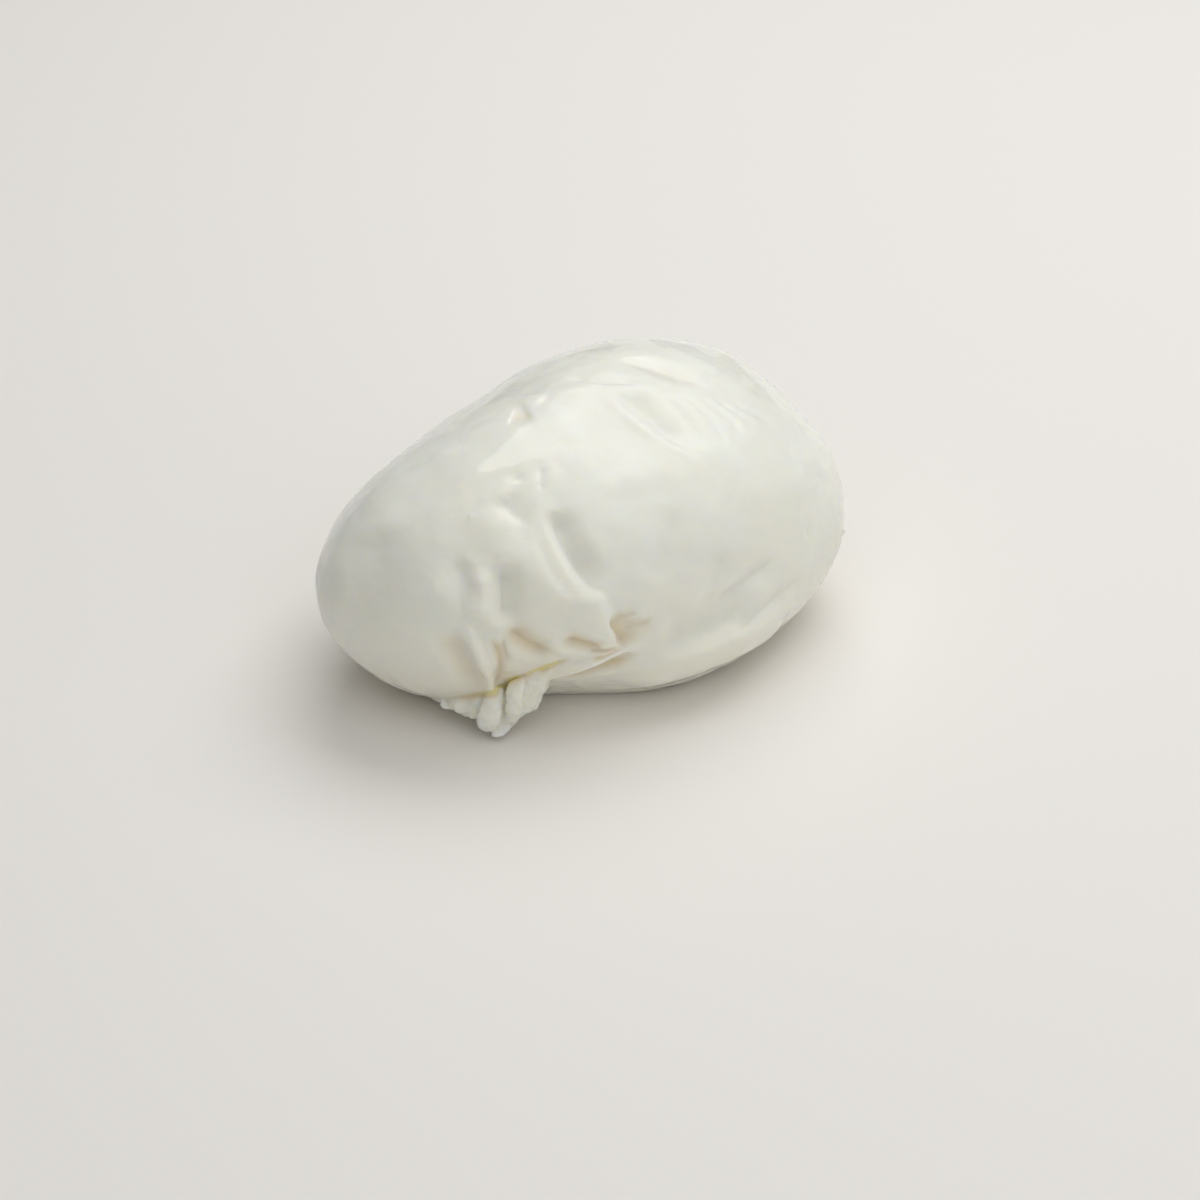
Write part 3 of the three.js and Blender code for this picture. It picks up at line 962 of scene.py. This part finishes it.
@dataclass(frozen=True)
class CurdFinish:
    """Wet, slightly see-through curd under a film of whey.

    Attributes:
        milk: Colour of the plain skin.
        cream: Colour of its creamier patches.
        crease: Warmer, darker colour at half the tint: painted shade in creases and hollows, and
            painted warm reflected light at the neck and foot.
        whey: Yellower colour where whey gathers, at the full tint.
        patches: How much of the cream colour shows.
        gloss: Roughness of the skin, from its wetter to its drier patches.
        film: How much whey lies on the skin as a smooth film.
        grain: Height of the skin's fine grain, in metres.
        refraction: Index of refraction of the skin.
        bloom: Distance that light travels inside the curd.
        bloom_shares: Shares of that distance for red, green and blue light.
        film_roughness: Roughness of the film.
        film_refraction: Index of refraction of the film.
    """

    milk: Colour = (0.9, 0.905, 0.83, 1)
    cream: Colour = (0.88, 0.865, 0.76, 1)
    crease: Colour = (0.80, 0.715, 0.55, 1)
    whey: Colour = (0.86, 0.80, 0.38, 1)
    patches: Unevenness = Unevenness(across=0.016, low=0, high=0.6)
    gloss: Unevenness = Unevenness(across=0.007, low=0.45, high=0.6)
    film: Unevenness = Unevenness(across=0.013, low=0.45, high=1, blur=0.05, detail=5)
    grain: Unevenness = Unevenness(across=0.003, low=0, high=0.00002)
    refraction: float = 1.34
    bloom: float = 0.0016
    bloom_shares: Triple = (1, 0.9, 0.6)
    film_roughness: float = 0.03
    film_refraction: float = 1.33

    def colour(self, tree: bpy.types.NodeTree, place: bpy.types.NodeSocket) -> bpy.types.NodeSocket:
        """Adds the nodes of the skin's colour.

        Args:
            tree: The material's nodes.
            place: The socket that gives the place on the piece.

        Returns:
            The socket that gives the colour.
        """
        skin = tree.nodes.new("ShaderNodeMix")
        skin.data_type = "RGBA"
        skin.inputs[COLOUR_A].default_value = self.milk
        skin.inputs[COLOUR_B].default_value = self.cream
        tree.links.new(self.patches.add(tree, place), skin.inputs["Factor"])
        # The tint attribute paints shade and warm reflected light through the crease colour, and
        # gives whey's yellow above half.
        tint = tree.nodes.new("ShaderNodeAttribute")
        tint.attribute_name = WHEY_AND_SHADE_TINT
        ramp = tree.nodes.new("ShaderNodeValToRGB")
        ramp.color_ramp.elements[0].color = self.crease
        ramp.color_ramp.elements[0].position = HALF_TINT
        ramp.color_ramp.elements[1].color = self.whey
        tree.links.new(tint.outputs["Fac"], ramp.inputs["Fac"])
        share = tree.nodes.new("ShaderNodeMapRange")
        share.inputs["From Max"].default_value = HALF_TINT
        tree.links.new(tint.outputs["Fac"], share.inputs["Value"])
        blend = tree.nodes.new("ShaderNodeMix")
        blend.data_type = "RGBA"
        tree.links.new(share.outputs["Result"], blend.inputs["Factor"])
        tree.links.new(skin.outputs[COLOUR_RESULT], blend.inputs[COLOUR_A])
        tree.links.new(ramp.outputs["Color"], blend.inputs[COLOUR_B])
        return blend.outputs[COLOUR_RESULT]

    def material(self) -> bpy.types.Material:
        """Builds the material.

        Returns:
            The curd material.
        """
        material = bpy.data.materials.new("wet_curd")
        material.use_nodes = True
        tree = material.node_tree
        shader = tree.nodes["Principled BSDF"]
        place = tree.nodes.new("ShaderNodeTexCoord").outputs["Object"]
        tree.links.new(self.colour(tree, place), shader.inputs["Base Color"])
        tree.links.new(self.gloss.add(tree, place), shader.inputs["Roughness"])
        bump = tree.nodes.new("ShaderNodeBump")
        bump.inputs["Distance"].default_value = 1
        tree.links.new(self.grain.add(tree, place), bump.inputs["Height"])
        tree.links.new(bump.outputs["Normal"], shader.inputs["Normal"])
        tree.links.new(self.film.add(tree, place), shader.inputs["Coat Weight"])
        shader.inputs["IOR"].default_value = self.refraction
        shader.inputs["Subsurface Weight"].default_value = 1
        shader.inputs["Subsurface Radius"].default_value = self.bloom_shares
        shader.inputs["Subsurface Scale"].default_value = self.bloom
        shader.inputs["Coat Roughness"].default_value = self.film_roughness
        shader.inputs["Coat IOR"].default_value = self.film_refraction
        return material


# ---- Studio ---------------------------------------------------------------------------------


@dataclass(frozen=True)
class Lamp:
    """A soft box that faces the cheese.

    Attributes:
        azimuth: Where it stands, in degrees: 0 is on the -Y side and 90 on the +X side.
        elevation: How high it stands, in degrees above the level.
        distance: From the cheese.
        width: Its size from left to right.
        height: Its size from its top to its foot.
        power: In watts.
    """

    azimuth: float
    elevation: float
    distance: float
    width: float
    height: float
    power: float


@dataclass
class Studio:
    """The floor, the lights and the camera.

    Attributes:
        azimuth: Where the camera stands, in degrees.
        elevation: How high it stands, in degrees above the level.
        distance: From the camera to its aim.
        aim: Where the camera looks.
        focal_length: In millimetres, on a sensor of sensor_width.
        sensor_width: In millimetres.
        near: Distance from which the camera sees.
        floor_size: Length of the floor's side.
        floor_colour: Colour of the floor.
        floor_roughness: Roughness of the floor.
        room_light: Strength of the even light of the room.
        lamps: The soft boxes.
    """

    azimuth: float = -30
    elevation: float = 34.5
    distance: float = 0.572
    aim: Vector = field(default_factory=lambda: Vector((0.0078, 0.0071, 0)))
    focal_length: float = 85
    sensor_width: float = 36
    near: float = 0.01
    floor_size: float = 6
    floor_colour: Colour = (0.87, 0.845, 0.80, 1)
    floor_roughness: float = 0.7
    room_light: float = 0.12
    lamps: tuple[Lamp, ...] = (
        Lamp(azimuth=120, elevation=60, distance=0.9, width=1.0, height=0.6, power=5.2),
        Lamp(azimuth=-30, elevation=65, distance=1.5, width=1.8, height=1.8, power=9.5),
        Lamp(azimuth=20, elevation=30, distance=1.4, width=1.4, height=1.2, power=3.2),
    )

    def outward(self, azimuth: float, elevation: float) -> Vector:
        """Turns an azimuth and an elevation, in degrees, into a direction away from the aim."""
        side, up = math.radians(azimuth), math.radians(elevation)
        return Vector((math.sin(side) * math.cos(up), -math.cos(side) * math.cos(up), math.sin(up)))

    def floor(self) -> None:
        """Lays the pale floor."""
        bpy.ops.object.select_all(action="DESELECT")
        bpy.ops.mesh.primitive_plane_add(size=self.floor_size, location=(0, 0, 0))
        floor = bpy.context.active_object
        floor.name = "floor"
        material = bpy.data.materials.new("pale_floor")
        material.use_nodes = True
        shader = material.node_tree.nodes["Principled BSDF"]
        shader.inputs["Base Color"].default_value = self.floor_colour
        shader.inputs["Roughness"].default_value = self.floor_roughness
        floor.data.materials.append(material)

    def light(self) -> None:
        """Hangs the soft boxes and sets the even light of the room."""
        for number, lamp in enumerate(self.lamps, start=1):
            outward = self.outward(lamp.azimuth, lamp.elevation)
            bpy.ops.object.light_add(type="AREA", location=self.aim + outward * lamp.distance)
            box = bpy.context.active_object
            box.name = f"soft_box_{number}"
            box.rotation_euler = outward.to_track_quat("Z", "Y").to_euler()
            box.data.shape = "RECTANGLE"
            box.data.size = lamp.width
            box.data.size_y = lamp.height
            box.data.energy = lamp.power
        scene = bpy.context.scene
        room = bpy.data.worlds.new("room")
        room.use_nodes = True
        background = room.node_tree.nodes["Background"]
        background.inputs["Color"].default_value = (1, 1, 1, 1)
        background.inputs["Strength"].default_value = self.room_light
        scene.world = room
        scene.view_settings.view_transform = "Standard"

    def camera(self) -> None:
        """Sets up the camera."""
        outward = self.outward(self.azimuth, self.elevation)
        data = bpy.data.cameras.new("camera")
        data.lens = self.focal_length
        data.sensor_width = self.sensor_width
        data.clip_start = self.near
        camera = bpy.data.objects.new("camera", data)
        camera.location = self.aim + outward * self.distance
        camera.rotation_euler = outward.to_track_quat("Z", "Y").to_euler()
        bpy.context.scene.collection.objects.link(camera)
        bpy.context.scene.camera = camera

    def build(self) -> None:
        """Sets up the whole studio."""
        self.floor()
        self.light()
        self.camera()


# ---- The cheese -----------------------------------------------------------------------------


@dataclass
class Burrata:
    """The whole cheese.

    Attributes:
        sack: The sack of curd.
        tuft: The torn tuft at its knot.
        finish: The finish of its skin.
        seam: How near both skins a place is where the tuft leaves the sack.
        seam_tint: Width of the yellow line along that seam.
        seam_length: Distance from the knot at which that line has died away.
        knot: Where the gathered skin is tied, from the ovoid's middle on the table.
        knot_tint: How far round the knot the skin is yellow.
        painted_neck_reflection: Painted warm reflected light on the sack's skin at the knot, in the
            crease colour, as a share of the full tint.
        neck_reach: Distance from the knot at which it is white again.
        painted_foot_reflection: Painted warm reflected light on the skin where it rests, in the
            crease colour, as a share of the full tint.
        foot_height: Height at which it is white again.
        seam_rings: Rings of vertices on each side of the seam that are evened out with it.
        soften: How often the seam is evened out.
        smooth_angle: Steepest edge, in degrees, that is shaded smooth.
    """

    sack: Sack = field(default_factory=Sack)
    tuft: Tuft = field(default_factory=Tuft)
    finish: CurdFinish = field(default_factory=CurdFinish)
    seam: float = 0.0003
    seam_tint: float = 0.0016
    seam_length: float = 0.014
    knot: Triple = (-0.0304, -0.0238, 0.0090)
    knot_tint: float = 0.0060
    painted_neck_reflection: float = 0.22
    neck_reach: float = 0.022
    painted_foot_reflection: float = 0.14
    foot_height: float = 0.024
    seam_rings: int = 4
    soften: int = 30
    smooth_angle: float = 60

    def tint(self, piece: bpy.types.Object, seam: set[int], folds: list[float]) -> None:
        """Tints the skin: painted shade in its folds, whey yellow along the seam and round the
        knot, and painted warm reflected light at the neck and where it rests.

        Args:
            piece: The joined cheese.
            seam: Indices of its vertices along the seam.
            folds: The tint that the folds give its vertices, below zero on the tuft.
        """
        vertices = piece.data.vertices
        line = tree_of(vertices[index].co for index in sorted(seam))
        tint = []
        for vertex, in_fold in zip(vertices, folds):
            from_knot = (vertex.co - Vector(self.knot)).length
            along_seam = Profile.SHARP.weight(min(line.find(vertex.co)[2] / self.seam_tint, 1))
            along_seam *= ease(from_knot / self.seam_length)
            if in_fold < 0:
                tint.append(along_seam)
                continue
            round_knot = Profile.SHARP.weight(min(from_knot / self.knot_tint, 1))
            # Painted warm reflected light on the neck, in the crease colour.
            on_neck = self.painted_neck_reflection * ease(from_knot / self.neck_reach)
            # Painted warm reflected light on the skin near the table, in the crease colour.
            at_foot = self.painted_foot_reflection * ease(vertex.co.z / self.foot_height)
            tint.append(max(in_fold, along_seam, round_knot, on_neck, at_foot))
        piece.data.attributes[WHEY_AND_SHADE_TINT].data.foreach_set("value", tint)

    def join(self, sack: bpy.types.Object, tuft: bpy.types.Object) -> bpy.types.Object:
        """Grows the tuft onto the sack and evens out the seam between them.

        Args:
            sack: The closed sack.
            tuft: The closed tuft, which is used up.

        Returns:
            The sack with its tuft, as one closed mesh that carries its tint: whey yellow, painted
            shade and painted warm reflected light.
        """
        graph = bpy.context.evaluated_depsgraph_get()
        sack_skin, tuft_skin = (BVHTree.FromObject(piece, graph) for piece in (sack, tuft))
        tints = [entry.value for entry in sack.data.attributes[WHEY_AND_SHADE_TINT].data]
        places = vertex_tree(sack)
        union = sack.modifiers.new("union", "BOOLEAN")
        union.operation = "UNION"
        union.object = tuft
        union.solver = "MANIFOLD"
        apply_modifier(sack, union)
        bpy.data.objects.remove(tuft)
        drop_crumbs(sack)
        seam, folds = set(), []
        for vertex in sack.data.vertices:
            on_sack = sack_skin.find_nearest(vertex.co, self.seam)[3] is not None
            folds.append(tints[places.find(vertex.co)[1]] if on_sack else -1)
            if on_sack and tuft_skin.find_nearest(vertex.co, self.seam)[3] is not None:
                seam.add(vertex.index)
        self.tint(sack, seam, folds)
        choose_vertices(sack, seam)
        with editing(sack):
            for _ in range(self.seam_rings):
                bpy.ops.mesh.select_more()
            bpy.ops.mesh.vertices_smooth(factor=EVENING, repeat=self.soften)
        return sack

    def place(self, piece: bpy.types.Object) -> None:
        """Moves the cheese so that its middle is over the origin.

        Args:
            piece: The cheese, over the ovoid's middle.
        """
        with editing(piece):
            bpy.ops.mesh.select_all(action="SELECT")
            bpy.ops.transform.translate(value=self.sack.middle)

    def build(self) -> bpy.types.Object:
        """Models and dresses the cheese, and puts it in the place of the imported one.

        Returns:
            The finished piece.
        """
        piece = self.join(self.sack.build(), self.tuft.build())
        piece.name = "burrata"
        self.place(piece)
        take(piece)
        bpy.ops.object.shade_smooth_by_angle(angle=math.radians(self.smooth_angle))
        piece.data.materials.clear()
        piece.data.materials.append(self.finish.material())
        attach(piece, ROOT_BODY)
        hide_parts(CHEESE_NODE)
        return piece


def main() -> None:
    """Builds the studio and the cheese."""
    logging.basicConfig(level=logging.INFO, format="%(name)s: %(message)s")
    Studio().build()
    piece = Burrata().build()
    LOG.info("%s: %d faces", piece.name, len(piece.data.polygons))


if __name__ == "__main__":
    main()
